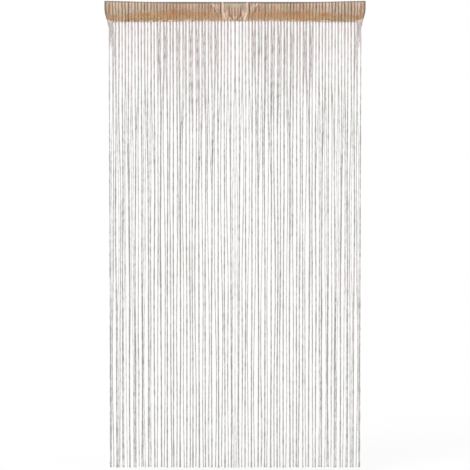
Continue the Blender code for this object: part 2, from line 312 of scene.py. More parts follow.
def yarn_piece(name, kind, material, seed):
    """All the strings of one kind as one joined mesh."""
    dice = np.random.default_rng(seed)
    kin = [string for string in strings if string.kind == kind]
    sides, dye = YARNS[kind][5:]
    points, quads, ply, bake, carried = [], [], [], [], []
    count = 0
    for number, string in enumerate(kin):
        tube, down = yarn_tube(string, dice)
        rings = len(down)
        faces = ring_quads(rings, sides)
        walls = (rings - 1) * sides
        ring, side = faces // sides, faces % sides
        # A wall's corner past the last side counts on, so that no face runs back across the map
        side[:walls] = np.where(side[:walls] < side[:walls, :1], side[:walls] + sides, side[:walls])
        share = ring / (rings - 1)
        ply.append(stacked(side / sides, down[ring]))
        u, v = (number + 0.06 + 0.88 * side / sides) / len(kin), 0.985 - 0.97 * share
        angle = math.tau * side[walls:] / sides
        u[walls:] = (number + 0.5 + 0.3 * np.cos(angle)) / len(kin)
        v[walls:] = np.where(ring[walls:] == 0, 0.994, 0.006) + 0.004 * np.sin(angle)
        bake.append(stacked(u, v))
        shade = dye + DYE_SPREAD * dice.uniform(-1, 1)
        each = stacked(np.full(rings, number + seed), down, np.full(rings, shade))
        carried.append(np.repeat(each, sides, axis=0))
        points.append(tube.reshape(-1, 3))
        quads.append(faces + count)
        count += rings * sides
    maps = {"ply": np.concatenate(ply), "OFBake": np.concatenate(bake)}
    values = {"yarn": np.concatenate(carried)}
    piece = quad_mesh(name, np.concatenate(points), np.concatenate(quads), material, maps, values)
    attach(piece, "root")
    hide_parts("strings")
    return piece


def linear(shade, cover=1):
    """A colour given as sRGB hex, in linear light."""
    parts = [int(shade[k : k + 2], 16) / 255 for k in (1, 3, 5)]
    return [c / 12.92 if c <= 0.04045 else ((c + 0.055) / 1.055) ** 2.4 for c in parts] + [cover]


def cloth_material(name, **sockets):
    """An empty material, its node tree, and its shader with those sockets set."""
    made = bpy.data.materials.new(name)
    made.use_nodes = True
    shader = made.node_tree.nodes["Principled BSDF"]
    for socket, value in sockets.items():
        shader.inputs[socket.replace("_", " ").title()].default_value = value
    return made, made.node_tree, shader


def add(tree, kind, inputs=(), **settings):
    """Adds a node of that kind with its settings. inputs gives each input by its name or number a
    plain value, or an output to link it to."""
    node = tree.nodes.new("ShaderNode" + kind)
    for setting, value in settings.items():
        setattr(node, setting, value)
    for place, value in dict(inputs).items():
        if isinstance(value, bpy.types.NodeSocket):
            tree.links.new(value, node.inputs[place])
        else:
            node.inputs[place].default_value = value
    return node


def node_tools(tree):
    """Functions that add common nodes to a tree and give back their outputs."""

    def carried(name, output="Vector"):
        """What the mesh's points carry under that name."""
        return add(tree, "Attribute", attribute_name=name).outputs[output]

    def parts(vector):
        return add(tree, "SeparateXYZ", {0: vector}).outputs

    def number(operation, *values, clamp=False):
        node = add(tree, "Math", dict(enumerate(values)), operation=operation, use_clamp=clamp)
        return node.outputs[0]

    def between(value, *ends):
        """The value, taken from between the first two numbers to between the last two."""
        return add(tree, "MapRange", {0: value, **dict(enumerate(ends, 1))}).outputs[0]

    def blend(share, under, over, how="MIX"):
        """A share of the second colour over the first."""
        under, over = (linear(c) if isinstance(c, str) else c for c in (under, over))
        inputs = {0: share, 6: under, 7: over}
        return add(tree, "Mix", inputs, data_type="RGBA", blend_type=how).outputs[2]

    def noise(place, detail, roughness=0.5, scale=(1, 1, 1)):
        place = add(tree, "VectorMath", {0: place, 1: scale}, operation="MULTIPLY").outputs[0]
        inputs = {"Vector": place, "Scale": 1.0, "Detail": detail, "Roughness": roughness}
        return add(tree, "TexNoise", inputs).outputs["Fac"]

    return carried, parts, number, between, blend, noise


def surface(tree, shader, colour, relief, strength, depth):
    """Links a shader to its colour and to a relief of that strength and depth."""
    bump = add(tree, "Bump", {"Height": relief, "Strength": strength, "Distance": depth})
    tree.links.new(colour, shader.inputs["Base Color"])
    tree.links.new(bump.outputs[0], shader.inputs["Normal"])


# Twisted polyester yarn with a taupe dye. Its plies wind round it as fine slanting ridges, with
# painted shade in the grooves, its dye takes a little unevenly along the yarn, and its loose hairs
# give it a soft sheen and no gloss.
YARN_DARK, YARN_MID, YARN_PALE = "#979391", "#A7A29F", "#CBC7C4"
YARN_LEVELS = (0.30, 0.50, 0.72)     # the levels of dye at which it has these shades
YARN_PINK, YARN_OLIVE = "#BCAAAA", "#A5A298"
YARN_ROOT = "#A88C78"           # the tan of the heading's yarn, knitted in at the root
PLIES = 2.0
PLY_PITCH = 9 * MM              # from ridge to ridge; 4 mm in the real one, too fine to show
OWN_SHADE = 0.34                # how far apart the shades of two strings can be
DYE_PATCH = 26 * MM             # how long a patch of uneven dye is
DYE_RUN = 260 * MM              # and how long a stretch of yarn from a paler or a darker bath
APART = 7.3                     # how far one string is from the next in the noise
TINT_PATCH = (110 * MM, 190 * MM)    # how wide and high a part of the fringe has its own cast
PINK_DOWN_TO = 500 * MM         # the cast near the roots, pinker and paler
PINK_AT_ROOT = 0.55
PALER_DOWN_TO = 1700 * MM
ROOT_COLOUR_OVER = 13 * MM


def twisted_yarn():
    made, tree, shader = cloth_material(
        "twisted_polyester_yarn", roughness=0.78, sheen_weight=0.25, sheen_roughness=0.5
    )
    carried, parts, number, between, blend, noise = node_tools(tree)
    string, down, own = parts(carried("yarn"))
    near_root = between(down, 0.0, PINK_DOWN_TO, 1.0, 0.0)

    def along(length, third):
        """Places in the noise, apart for each string, that pass one patch over that length."""
        place = number("MULTIPLY", string, APART), number("MULTIPLY", down, 1 / length), third
        return add(tree, "CombineXYZ", dict(enumerate(place))).outputs[0]

    # How pale the dye is: in short patches, for each string, in runs from one bath, down the drop
    own_shade = number("MULTIPLY_ADD", own, OWN_SHADE, -OWN_SHADE / 2)
    level = number("ADD", noise(along(DYE_PATCH, own), 3.0, 0.6), own_shade)
    bath = number("SUBTRACT", noise(along(DYE_RUN, 4.0), 1.0), 0.5)
    level = number("MULTIPLY_ADD", bath, number("MULTIPLY_ADD", near_root, -0.6, 0.9), level)
    level = number("MULTIPLY_ADD", near_root, 0.18, level)
    level = number("ADD", level, between(down, 0.0, PALER_DOWN_TO, 0.10, -0.03))
    ramp = add(tree, "ValToRGB", {"Fac": level})
    stops = ramp.color_ramp.elements
    stops.new(0.5)
    for stop, place, shade in zip(stops, YARN_LEVELS, (YARN_DARK, YARN_MID, YARN_PALE)):
        stop.position, stop.color = place, linear(shade)

    # Its cast: pinker near the roots, and pinker or greener in parts of the fringe
    spot = add(tree, "TexCoord").outputs["Object"]
    cast = noise(spot, 1.0, scale=(1 / TINT_PATCH[0], 0, 1 / TINT_PATCH[1]))
    pink = number("MULTIPLY_ADD", near_root, PINK_AT_ROOT, between(cast, 0.52, 0.70, 0.0, 0.4))
    dye_and_shade = blend(pink, ramp.outputs[0], YARN_PINK)
    dye_and_shade = blend(between(cast, 0.48, 0.30, 0.0, 0.6), dye_and_shade, YARN_OLIVE)

    # The plies, as ridges that wind round it, with painted shade in the grooves between them
    corner = add(tree, "UVMap", uv_map="ply").outputs[0]
    round_it, far_down, _ = parts(corner)
    plies = number("MULTIPLY_ADD", round_it, PLIES, number("MULTIPLY", far_down, 1 / PLY_PITCH))
    ridge = number("SINE", number("MULTIPLY", plies, math.tau))
    # painted shade: darker in the grooves between the plies
    dye_and_shade = blend(1.0, dye_and_shade, between(ridge, -1.0, -0.2, 0.80, 1.0), "MULTIPLY")
    at_root = between(down, 0.0, ROOT_COLOUR_OVER, 0.75, 0.0)
    surface(tree, shader, blend(at_root, dye_and_shade, YARN_ROOT), ridge, 0.5, 0.4 * MM)
    return made


yarn_material = twisted_yarn()
string_pieces = [
    yarn_piece(kind + "_strings", kind, yarn_material, seed) for seed, kind in enumerate(YARNS, 21)
]


# ==== The heading ====
# A band knitted of tan polyester on the strings' own yarn, which runs up it as darker ribs. Its
# upper part is folded back over an open pocket for the rod and sewn down, its ends are turned in
# and hemmed, and its middle is drawn together in a small gather.

CORNER_PULL = 14 * MM           # how far a lower corner is drawn in
CORNER_REACH = 80 * MM          # the stretch at each end that is drawn in
CORNER_RISE = 11 * MM           # how far its very end is turned up
END_HEM = 32 * MM               # turned-in cloth at each end, with no ribs
RIB_LOW, RIB_HIGH = 0.5 * MM, 1.1 * MM
RIB_HALF_WIDTH = 4.4 * MM
RIB_SWAY = 1.1 * MM             # how far a rib bends aside on its way up
RIB_BEND = 130 * MM             # and how long such a bend is
RIB_DARKNESS = (0.45, 1.1)      # how dark a rib is, drawn for each between these two
RIB_DARKER = (0.78, 0.6, 300 * MM, 460 * MM)    # times the first, and more over that stretch
HEM_LIFT = 0.6 * MM             # how far the hem stands proud of the cloth between the ribs
HEM_FROM = TOP_HALF_WIDTH - END_HEM    # and how far out it begins
SLOW_WAVE = (1.0 * MM, 0.46)    # how far the cloth waves to front and back, and how long a wave is
QUICK_WAVE = (0.5 * MM, 0.19)
WAVE_LOST = 0.6                 # the share of it that is lost by the lower edge
RIB_AT_FOLD = 0.35              # how much of a rib's height is left where it runs over the fold
FOLD_BEHIND = 0.4               # how much of a fold of the gather that stands out shows at the back

# The heading's section from its lower edge up to the fold. The back mirrors it.
OUTSIDE = table(2,
    # place,          outwards, height
    ("lower edge",    0.9,      -108),
    ("above it",      1.6,      -106.6),
    ("band",          1.7,      -88),
    ("pocket seam",   1.6,      -66),
    ("narrowing",     6.0,      -50),
    ("under the rod", 10.5,     -30),
    ("widest",        11.5,     -12),
    ("shoulder",      6.5,      -3),
    ("top fold",      0.0,      0),
)
INSIDE = table(2,
    # place,          outwards, height
    ("pocket seam",   0.15,     -61),
    ("narrowing",     4.0,      -50),
    ("under the rod", 8.5,      -30),
    ("widest",        9.5,      -12),
    ("shoulder",      5.2,      -4.5),
    ("top fold",      0.0,      -2.2),
)

# Folds of the gather at the middle, each there twice, left and right. A fold runs in a straight
# line down the cloth, and its lift is how far it stands out.
GATHER = table(6,
    # fold,              x at top, x at foot, top, foot, half width, lift
    ("far crease",       163,      163,       -4,  -92,  6,          -0.4),
    ("outer crease",     78,       79,        0,   -87,  6,          -0.8),
    ("roll beside it",   63,       60,        -4,  -102, 13,         2.4),
    ("leaning fold",     122,      90,        -6,  -62,  11,         1.8),
    ("side of the loop", 28,       22,        -34, -86,  10,         1.6),
    ("foot of the loop", 20,       5,         -84, -106, 9,          1.8),
    ("plain middle",     5,        5,         -6,  -40,  20,         0.8),
)

# The lines that show on those folds, also each there twice: painted shade where the cloth dips in,
# and a painted highlight where a fold is stretched and catches the light. Tone runs from -1, dark,
# to 1, pale.
CREASES = table(5,
    # line,                 x at top, x at foot, top, foot, half width, tone
    ("outermost line",      194,      194,       -19, -80,  4,          -0.45),
    ("far crease",          163,      163,       -3,  -85,  4,          -0.7),
    ("first streak",        131,      131,       -17, -61,  6,          -0.55),
    ("second streak",       113,      110,       -29, -58,  7,          -0.5),
    ("leaning fold",        124,      109,       -8,  -30,  6,          1.0),
    ("second leaning fold", 104,      86,        -16, -40,  6,          0.9),
    ("between the two",     112,      92,        -9,  -42,  4,          -0.6),
    ("under the two",       107,      91,        -46, -86,  4,          -0.6),
    ("outer crease",        78,       78,        -2,  -64,  4.5,        -1.6),
    ("below the crease",    78,       80,        -62, -90,  4,          -0.7),
    ("roll beside it",      68,       62,        2,   -74,  11,         0.42),
    ("foot of the roll",    56,       52,        -62, -100, 13,         1.1),
    ("crease inside it",    55,       46,        -64, -88,  4,          -1.1),
    ("pale beside that",    42,       41,        -44, -86,  6,          0.8),
    ("short line",          48,       48,        -38, -58,  4,          -0.5),
    ("side of the loop",    31,       30,        -20, -84,  4,          -1.5),
    ("pale in the loop",    23,       22,        -26, -72,  5,          0.5),
    ("line in the loop",    16,       16,        -34, -74,  3.5,        -1.0),
    ("pale in the middle",  8,        7,         -38, -72,  4,          0.4),
    ("middle line",         0,        0,         -42, -74,  4,          -0.4),
    ("foot of the loop",    19,       9,         -76, -102, 4.5,        -1.5),
    ("inside the foot",     9,        6,         -80, -96,  6,          1.0),
    ("outside the foot",    32,       24,        -84, -98,  6,          0.7),
    ("edge of the hem",     696,      696,       -2,  -108, 7,          -0.55),
    ("pale on the hem",     682,      684,       -6,  -62,  6,          0.5),
    ("dark on the hem",     674,      676,       -16, -84,  5,          -0.4),
    ("beside the hem",      661,      660,       -6,  -68,  6,          0.5),
    ("foot of the hem",     682,      682,       -92, -106, 24,         -0.35),
)

SEAM_HEIGHT = -66 * MM          # the foot of the pocket, where front and back are sewn together
SECTION_STEP = 3.9 * MM         # from row to row round the section
COLUMN_STEP = 1.7 * MM          # from column to column along the heading
INNER_COLUMNS = 60              # the pocket's inside is smoother and needs fewer


def curve_through(table):
    """Close points on a smooth curve through the table's points and their mirror images."""
    half = np.array([(-out, height) for _, out, height in table])
    points = np.concatenate([half, half[-2::-1] * (-1, 1)])
    ends = np.concatenate([points[:1], points, points[-1:]])
    t = np.linspace(0, 1, 40, endpoint=False)[:, None]
    run = []
    for a, b, c, d in zip(ends, ends[1:], ends[2:], ends[3:]):
        run.append(b + t * (c - a) / 2 + t**2 * (a - 2.5 * b + 2 * c - d / 2)
                   + t**3 * (1.5 * (b - c) + (d - a) / 2))
    run.append(points[-1:])
    run = np.concatenate(run)
    along = np.concatenate([[0], np.cumsum(np.hypot(*np.diff(run, axis=0).T))])
    return run, along


outside, outside_along = curve_through(OUTSIDE)
inside, inside_along = curve_through(INSIDE)
GIRTH = outside_along[-1]       # up the front, over the fold and down the back
slope = np.gradient(outside, outside_along, axis=0)
outward = stacked(-slope[:, 1], slope[:, 0]) / np.hypot(*slope.T)[:, None]

rib_lines = np.array([
    string.root for string in strings
    if string.kind in ("strong", "plain") and abs(string.root) < HEM_FROM - 4 * MM
])
rib_dice = np.random.default_rng(5)
rib_heights = rib_dice.uniform(RIB_LOW, RIB_HIGH, len(rib_lines))
rib_phases = rib_dice.random(len(rib_lines))
rib_darkness = rib_dice.uniform(*RIB_DARKNESS, len(rib_lines))
rib_darkness *= RIB_DARKER[0] + RIB_DARKER[1] * smooth_step(*RIB_DARKER[2:], abs(rib_lines))


def rib_line(k, z):
    """Where rib k runs across the flat cloth at a height."""
    bend = np.sin(math.tau * (z / RIB_BEND + rib_phases[k]))
    return rib_lines[k] + RIB_SWAY * bend * smooth_step(-108 * MM, -85 * MM, z)


def nearest_rib(x, z):
    """The rib next to a point, and how much of it is there, from 0 between the ribs to 1."""
    between = (rib_lines[1:] + rib_lines[:-1]) / 2
    k = np.searchsorted(between, x)
    away = (x - rib_line(k, z)) / RIB_HALF_WIDTH
    return k, np.exp(-away * away) * smooth_step(HEM_FROM + 2 * MM, HEM_FROM - 4 * MM, abs(x))


def folds(table, x, z):
    """The sum of a table's lines at a point: the last column of each, fading out from its line."""
    total = 0 * x
    for _, x_top, x_foot, top, foot, half_width, height in table:
        along = np.clip((top - z) / (top - foot), 0, 1)
        away = np.clip(abs(abs(x) - (x_top + (x_foot - x_top) * along)) / half_width, 0, 1)
        fade = smooth_step(foot - 4 * MM, foot + 5 * MM, z)
        fade = fade * smooth_step(top + 4 * MM, top - 5 * MM, z)
        total += height * (0.5 + 0.5 * np.cos(math.pi * away)) * fade
    return total


def drawn_in(x, z):
    """Where a point of the flat cloth lies across, once the lower corners are drawn in."""
    share = smooth_step(TOP_HALF_WIDTH - CORNER_REACH, TOP_HALF_WIDTH, abs(x))
    pull = CORNER_PULL * smooth_step(-40 * MM, -HEADING_DEPTH * 1.25, z)
    return x - np.sign(x) * share * pull


def turned_up(x, z):
    """How far a point of the end hem is raised with the turned-up lower corner."""
    at_end = smooth_step(HEM_FROM, TOP_HALF_WIDTH, abs(x))
    return CORNER_RISE * at_end * smooth_step(-60 * MM, -HEADING_DEPTH, z)


def hung(x, z):
    """How high a point of the flat cloth hangs."""
    return z + raised(drawn_in(x, z), z) + turned_up(x, z)


def wave(x, z):
    """How far the whole cloth lies to the back at x; it hangs straighter lower down."""
    total = 0
    for height, length in (SLOW_WAVE, QUICK_WAVE):
        total += height * np.sin(math.tau * x / length + length * 9)
    return total * (1 + z / HEADING_DEPTH * WAVE_LOST)


def on_cloth(x, up, lift=0.0):
    """The place of a point on the heading's outside. x is across the flat cloth, up is the way from
    the lower edge up the front, over the fold and down the back, and lift is off the cloth."""
    y, z = (np.interp(up, outside_along, outside[:, k]) for k in (0, 1))
    out_y, out_z = (np.interp(up, outside_along, outward[:, k]) for k in (0, 1))
    k, rib = nearest_rib(x, z)
    gathered = folds(GATHER, x, z)
    rise = rib * rib_heights[k]
    rise = rise * (RIB_AT_FOLD + (1 - RIB_AT_FOLD) * smooth_step(0, -8 * MM, z))
    rise = rise + np.where(up < GIRTH / 2, gathered, FOLD_BEHIND * np.maximum(0, gathered))
    rise = rise + HEM_LIFT * smooth_step(HEM_FROM, HEM_FROM + 2 * MM, abs(x))
    rise = rise * smooth_step(0, 9 * MM, abs(z) + 3 * MM) + lift
    return stacked(drawn_in(x, z), wave(x, z) + y + out_y * rise, hung(x, z) + out_z * rise)


# How the cloth changes from the middle out to the ends, alike on both sides: where the dense lower
# part begins, how golden it is, how clear the ribs are in it, and how much paler it is between them
ALONG = (
    # from the middle, dense below, golden, ribs, paler
    (0 * MM,           -36 * MM,    0.55,   0.35, 0.34),
    (75 * MM,          -38 * MM,    0.60,   0.35, 0.38),
    (100 * MM,         -42 * MM,    0.75,   0.40, 0.24),
    (180 * MM,         -38 * MM,    0.78,   0.28, 0.14),
    (250 * MM,         -40 * MM,    0.78,   0.28, 0.12),
    (330 * MM,         -40 * MM,    0.85,   0.30, 0.10),
    (450 * MM,         -47 * MM,    1.00,   0.28, 0.44),
    (525 * MM,         -54 * MM,    1.00,   0.50, 0.54),
    (560 * MM,         -62 * MM,    0.92,   0.85, 0.50),
    (620 * MM,         -70 * MM,    1.00,   0.80, 0.42),
    (699 * MM,         -72 * MM,    1.00,   1.00, 0.10),
)
DENSE_BLUR = 12 * MM

# Patches where the tan yarn is redder, on both sides of the middle
WARM = table(4,
    # patch,           middle, height, half width, half height
    ("in the gather",  131,    -34,    5,          26),
    ("beside it",      110,    -38,    5,          20),
    ("half way out",   352,    -76,    34,         22),
    ("further out",    484,    -66,    28,         10),
    ("on the hem",     669,    -45,    12,         33),
    ("beside the hem", 664,    -70,    7,          20),
    ("its foot",       674,    -95,    9,          5),
)
# Stretches between the gather and the ends where the cloth is a little darker or paler. On the
# pocket and above the seam this is painted shade and painted light that evens out the shading of
# the pocket's rounded faces; the other stretches are the cloth's own tone
SHADES = table(4,
    # stretch,         height, half height, nearest, farthest, much
    ("on the pocket",  -27,    15,          100,     450,      -0.08),
    ("above the seam", -55,    13,          60,      250,      0.12),
    ("further out",    -67,    11,          460,     492,      -0.34),
    ("beside the hem", -88,    26,          590,     630,      0.12),
    ("on the hem",     -50,    70,          682,     760,      -0.20),
)
SHADE_BLUR = (20 * MM, 40 * MM)      # how softly such a stretch begins and ends
PATCH_BLUR = (1.3, 0.4)              # and a redder patch, in shares of its size
BARE_HALF_WIDTH = 54 * MM            # the plain patch at the top of the gather, where no rib shows
BARE_TO = -30 * MM                   # how far down it reaches
BARE_BLUR = (8 * MM, 9 * MM)
BARE_WAVE = (4 * MM, 7 * MM)         # how high and wide the waves of its lower edge are
FOOT_FROM = (-103 * MM, -95 * MM)    # where the cloth's paler foot begins, from rib to rib
FOOT_LOWER = 3.5 * MM                # how much lower it begins at the gathered middle
ABOVE_FOOT = (7 * MM, 3 * MM)        # the darker rows just above the foot
ABOVE_FOOT_TONE = -0.2
ABOVE_FOOT_IN = ((300 * MM, 400 * MM), (610 * MM, 550 * MM))     # the stretch that they show in
DENSE_SHIFT = (-16 * MM, 9 * MM)     # how far the dense part's beginning is off, from rib to rib
DENSE_STEADIER = 0.6                 # and how much less so outside
HEM_BLUR = (-3 * MM, 5 * MM)
PALE_TO = (-58 * MM, -78 * MM)       # where the paler cloth between the ribs ends
# The dark line along the top fold is a painted shade where the cloth turns over
FOLD_DEPTH = (11 * MM, 9.5 * MM)     # how far down the dark line along the top fold reaches
FOLD_DEEP_TO = (300 * MM, 440 * MM)  # the stretch in which it goes from the one to the other

# How strong that painted shade is over the gather, and how much stronger or weaker over a stretch
FOLD_LINE = 0.9
FOLD_CHANGES = table(2,
    # change,             from, to,  much
    ("outside the gather", 80,  200, 0.15),
    ("towards the ends",   300, 520, -0.40),
)
OVER_ROLL = 68 * MM                  # where the roll beside the gather breaks it
ROLL_BREAKS = (9 * MM, 4 * MM, -0.5)

rib_foot = rib_dice.uniform(*FOOT_FROM, len(rib_lines))
rib_dense = rib_dice.uniform(*DENSE_SHIFT, len(rib_lines))


def heading_values(x, up):
    """What the heading's points carry for its material. Masks from 0 to 1: rib, dense and warm,
    then hem and bare, and the edge, 1 at the top fold's painted shade and -1 at the lower edge.
    Last,
    the tone: painted shade and highlights of the creases and the pocket, and paler or darker cloth."""
    z = np.interp(up, outside_along, outside[:, 1])
    k, rib = nearest_rib(x, z)
    far = abs(x)
    reach, *columns = zip(*ALONG)
    below, golden, ribs, paler = (np.interp(far, reach, column) for column in columns)
    steadier = DENSE_STEADIER * smooth_step(*FOLD_DEEP_TO, far)
    below = below + rib_dense[k] * (1 - steadier)
    dense = smooth_step(below + DENSE_BLUR, below - DENSE_BLUR, z) * golden
    foot = rib_foot[k] - FOOT_LOWER * (1 - smooth_step(*MIDDLE_REACH, far))
    hem = smooth_step(HEM_FROM + HEM_BLUR[0], HEM_FROM + HEM_BLUR[1], far)

    warm = 0 * x
    for _, middle, height, half_width, half_height in WARM:
        away = np.hypot((far - middle) / half_width, (z - height) / half_height)
        warm = np.maximum(warm, smooth_step(*PATCH_BLUR, away))

    aside, down = BARE_BLUR
    wavy = z - BARE_WAVE[0] * np.sin(far / BARE_WAVE[1])
    bare = smooth_step(BARE_HALF_WIDTH + aside, BARE_HALF_WIDTH - aside, far)
    bare = bare * smooth_step(BARE_TO - down, BARE_TO + down, wavy)

    # The painted shade along the top fold, 1 there, and the paler foot, -1 at the lower edge
    fold = FOLD_DEPTH[0] + (FOLD_DEPTH[1] - FOLD_DEPTH[0]) * smooth_step(*FOLD_DEEP_TO, far)
    line = FOLD_LINE + ROLL_BREAKS[2] * smooth_step(*ROLL_BREAKS[:2], abs(far - OVER_ROLL))
    for _, begins, ends, much in FOLD_CHANGES:
        line = line + much * smooth_step(begins, ends, far)
    edge = line * smooth_step(-fold - 2 * MM, -fold + 3 * MM, z)
    edge = edge - smooth_step(foot, foot - 5 * MM, z)

    rib = rib * rib_darkness[k] * (1 - bare) * (1 - (1 - ribs) * dense)
    paler = paler * (1 - 0.8 * rib) * (1 - 0.75 * smooth_step(*PALE_TO, z) * (1 - hem))
    darker = smooth_step(*ABOVE_FOOT, abs(z - foot - 1 * MM)) * rib_darkness[k]
    darker = ABOVE_FOOT_TONE * darker
    for begins, ends in ABOVE_FOOT_IN:
        darker = darker * smooth_step(begins, ends, far)
    tone = folds(CREASES, x, z) + paler + darker
    for _, height, half_height, nearest, farthest, much in SHADES:
        begins, ends = SHADE_BLUR
        there = smooth_step(nearest - begins, nearest + begins, far)
        there = there * smooth_step(farthest + ends, farthest - ends, far)
        tone = tone + much * there * smooth_step(half_height, 0.3 * half_height, abs(z - height))
    return stacked(rib, dense, warm), stacked(hem, edge, bare), tone


def patch(grid):
    """What the faces of a grid have at their four corners, from what its points have."""
    around = [grid[:-1, :-1], grid[1:, :-1], grid[1:, 1:], grid[:-1, 1:]]
    return np.stack(around, axis=2).reshape(-1, 4, *grid.shape[2:])


def spread(rows, columns, left, low, right, high):
    """A grid of places spread evenly over a rectangle of a UV map."""
    u, v = np.linspace(left, right, rows), np.linspace(low, high, columns)
    return stacked(*np.meshgrid(u, v, indexing="ij"))


def heading_cloth(material):
    """The whole band as one closed sheet: its outside, its pocket's inside and its two ends."""
    rows = round(GIRTH / SECTION_STEP) + 1
    columns = round(2 * TOP_HALF_WIDTH / COLUMN_STEP) + 1
    ups = np.linspace(0, GIRTH, rows)
    x, up = np.meshgrid(np.linspace(-TOP_HALF_WIDTH, TOP_HALF_WIDTH, columns), ups, indexing="ij")
    outer = on_cloth(x, up)

    # The pocket's inside has a row for each row of the outside that lies above the seam
    heights = np.interp(ups, outside_along, outside[:, 1])
    above = np.flatnonzero(heights >= SEAM_HEIGHT)
    shares = (ups[above] - ups[above[0]]) / (ups[above[-1]] - ups[above[0]])
    ring = [np.interp(shares * inside_along[-1], inside_along, inside[:, k]) for k in (0, 1)]
    inner_x = np.linspace(-TOP_HALF_WIDTH, TOP_HALF_WIDTH, INNER_COLUMNS)[:, None] + 0 * shares
    inner_y, inner_z = (np.broadcast_to(each, inner_x.shape) for each in ring)
    inner_y = wave(inner_x, inner_z) + inner_y
    inner = stacked(drawn_in(inner_x, inner_z), inner_y, hung(inner_x, inner_z))

    outer_at = np.arange(x.size).reshape(x.shape)
    inner_at = x.size + np.arange(inner_x.size).reshape(inner_x.shape)
    around_foot = np.stack([outer_at[:, -1], outer_at[:, 0]], axis=1)
    tunnel_foot = np.stack([inner_at[:, -1], inner_at[:, 0]], axis=1)
    quads = [patch(outer_at), patch(around_foot), patch(inner_at), patch(tunnel_foot)]
    bake = [
        patch(spread(columns, rows, 0.01, 0.01, 0.99, 0.64)),
        patch(spread(columns, 2, 0.01, 0.65, 0.99, 0.66)),
        patch(spread(INNER_COLUMNS, len(above), 0.01, 0.67, 0.99, 0.90)),
        patch(spread(INNER_COLUMNS, 2, 0.01, 0.91, 0.99, 0.92)),
    ]
    seam = above[0]
    for column, left in ((0, 0.01), (-1, 0.51)):
        edge, tunnel = outer_at[column], inner_at[column]
        lip = np.stack([edge[above], tunnel], axis=1)
        band = np.stack([edge[: seam + 1], edge[::-1][: seam + 1]], axis=1)
        throat = np.array([[edge[seam], tunnel[0]], [edge[::-1][seam], tunnel[-1]]])
        quads += [patch(lip), patch(band), patch(throat)]
        bake += [
            patch(spread(len(above), 2, left, 0.93, left + 0.47, 0.95)),
            patch(spread(seam + 1, 2, left, 0.96, left + 0.40, 0.98)),
            patch(spread(2, 2, left + 0.42, 0.96, left + 0.47, 0.98)),
        ]
    points = np.concatenate([outer.reshape(-1, 3), inner.reshape(-1, 3)])
    quads = np.concatenate(quads)
    flat = np.concatenate([
        stacked(x, up).reshape(-1, 2),
        stacked(inner_x, inner_z).reshape(-1, 2),
    ])
    masks, marks, tone = heading_values(x, up)
    bare_inside = np.zeros((inner_x.size, 3))
    values = {
        "masks": np.concatenate([masks.reshape(-1, 3), bare_inside]),
        "marks": np.concatenate([marks.reshape(-1, 3), bare_inside]),
        "tone": np.concatenate([tone.ravel(), bare_inside[:, 0]]),
    }
    maps = {"cloth": flat[quads], "OFBake": np.concatenate(bake)}
    return quad_mesh("heading_cloth", points, quads, material, maps, values)


# Warp-knitted polyester, tan. The strings' taupe yarn shows as darker ribs on the pocket's paler,
# looser cloth; the doubled band below it is dense and golden, and paler along its lower edge.
# Streaks run with the ribs, the stitches make a fine matt relief with painted shade in its hollows,
# and there is no gloss. Painted shade and highlights also lie on the gather's creases and the top
# fold.
POCKET_GROUND, POCKET_RIB = "#BCA289", "#695441"
BAND_RED, BAND_GOLD, BAND_RIB = "#AE764A", "#B88C4E", "#563C22"
BAND_FOOT = "#AE9783"            # the band's greyer last rows
FOOT_GROUND, FOOT_RIB = "#D6C3B2", "#6B5440"
# The third is a painted shade, for the dark line along the top fold; the others are yarn colours
WARM_YARN, HEM_YARN, FOLD_SHADE, BARE_YARN = "#AC7242", "#847562", "#524E4A", "#9C9279"
# A painted shade for the creases and a painted highlight for the crests of stretched folds
CREASE, CREST = "#523829", "#DCC9B8"
CAST_PINK, CAST_OLIVE = "#A67D70", "#8F8562"
UNDER_FOLD = "#9F9590"          # the greyer cast of the cloth just below the top fold
STREAK = (4.5 * MM, 34 * MM)    # how wide and high a streak is
CLOUD = (34 * MM, 54.4 * MM)    # a patch of paler or darker cloth
CAST = (38 * MM, 52 * MM)       # one with a pinker or a greener cast
MOTTLE = (7 * MM, 13 * MM)      # one of redder or more golden yarn
GRAIN = (5.5 * MM, 9 * MM)      # one of darker or paler yarn in the dense band
SPECK = (5 * MM, 6.5 * MM)      # a loose stitch, drawn three times its real size
WALE, COURSE = 3.4 * MM, 3.0 * MM    # stitch columns and rows, drawn twice their real size
REDDER_ABOVE = (56 * MM, 30 * MM)    # off the lower edge, where the band goes from red to golden
GREYER_BELOW = (26 * MM, 9 * MM)     # and then greyer
GREYER_UNDER = (24 * MM, 9 * MM)     # below the top fold, where the cast goes


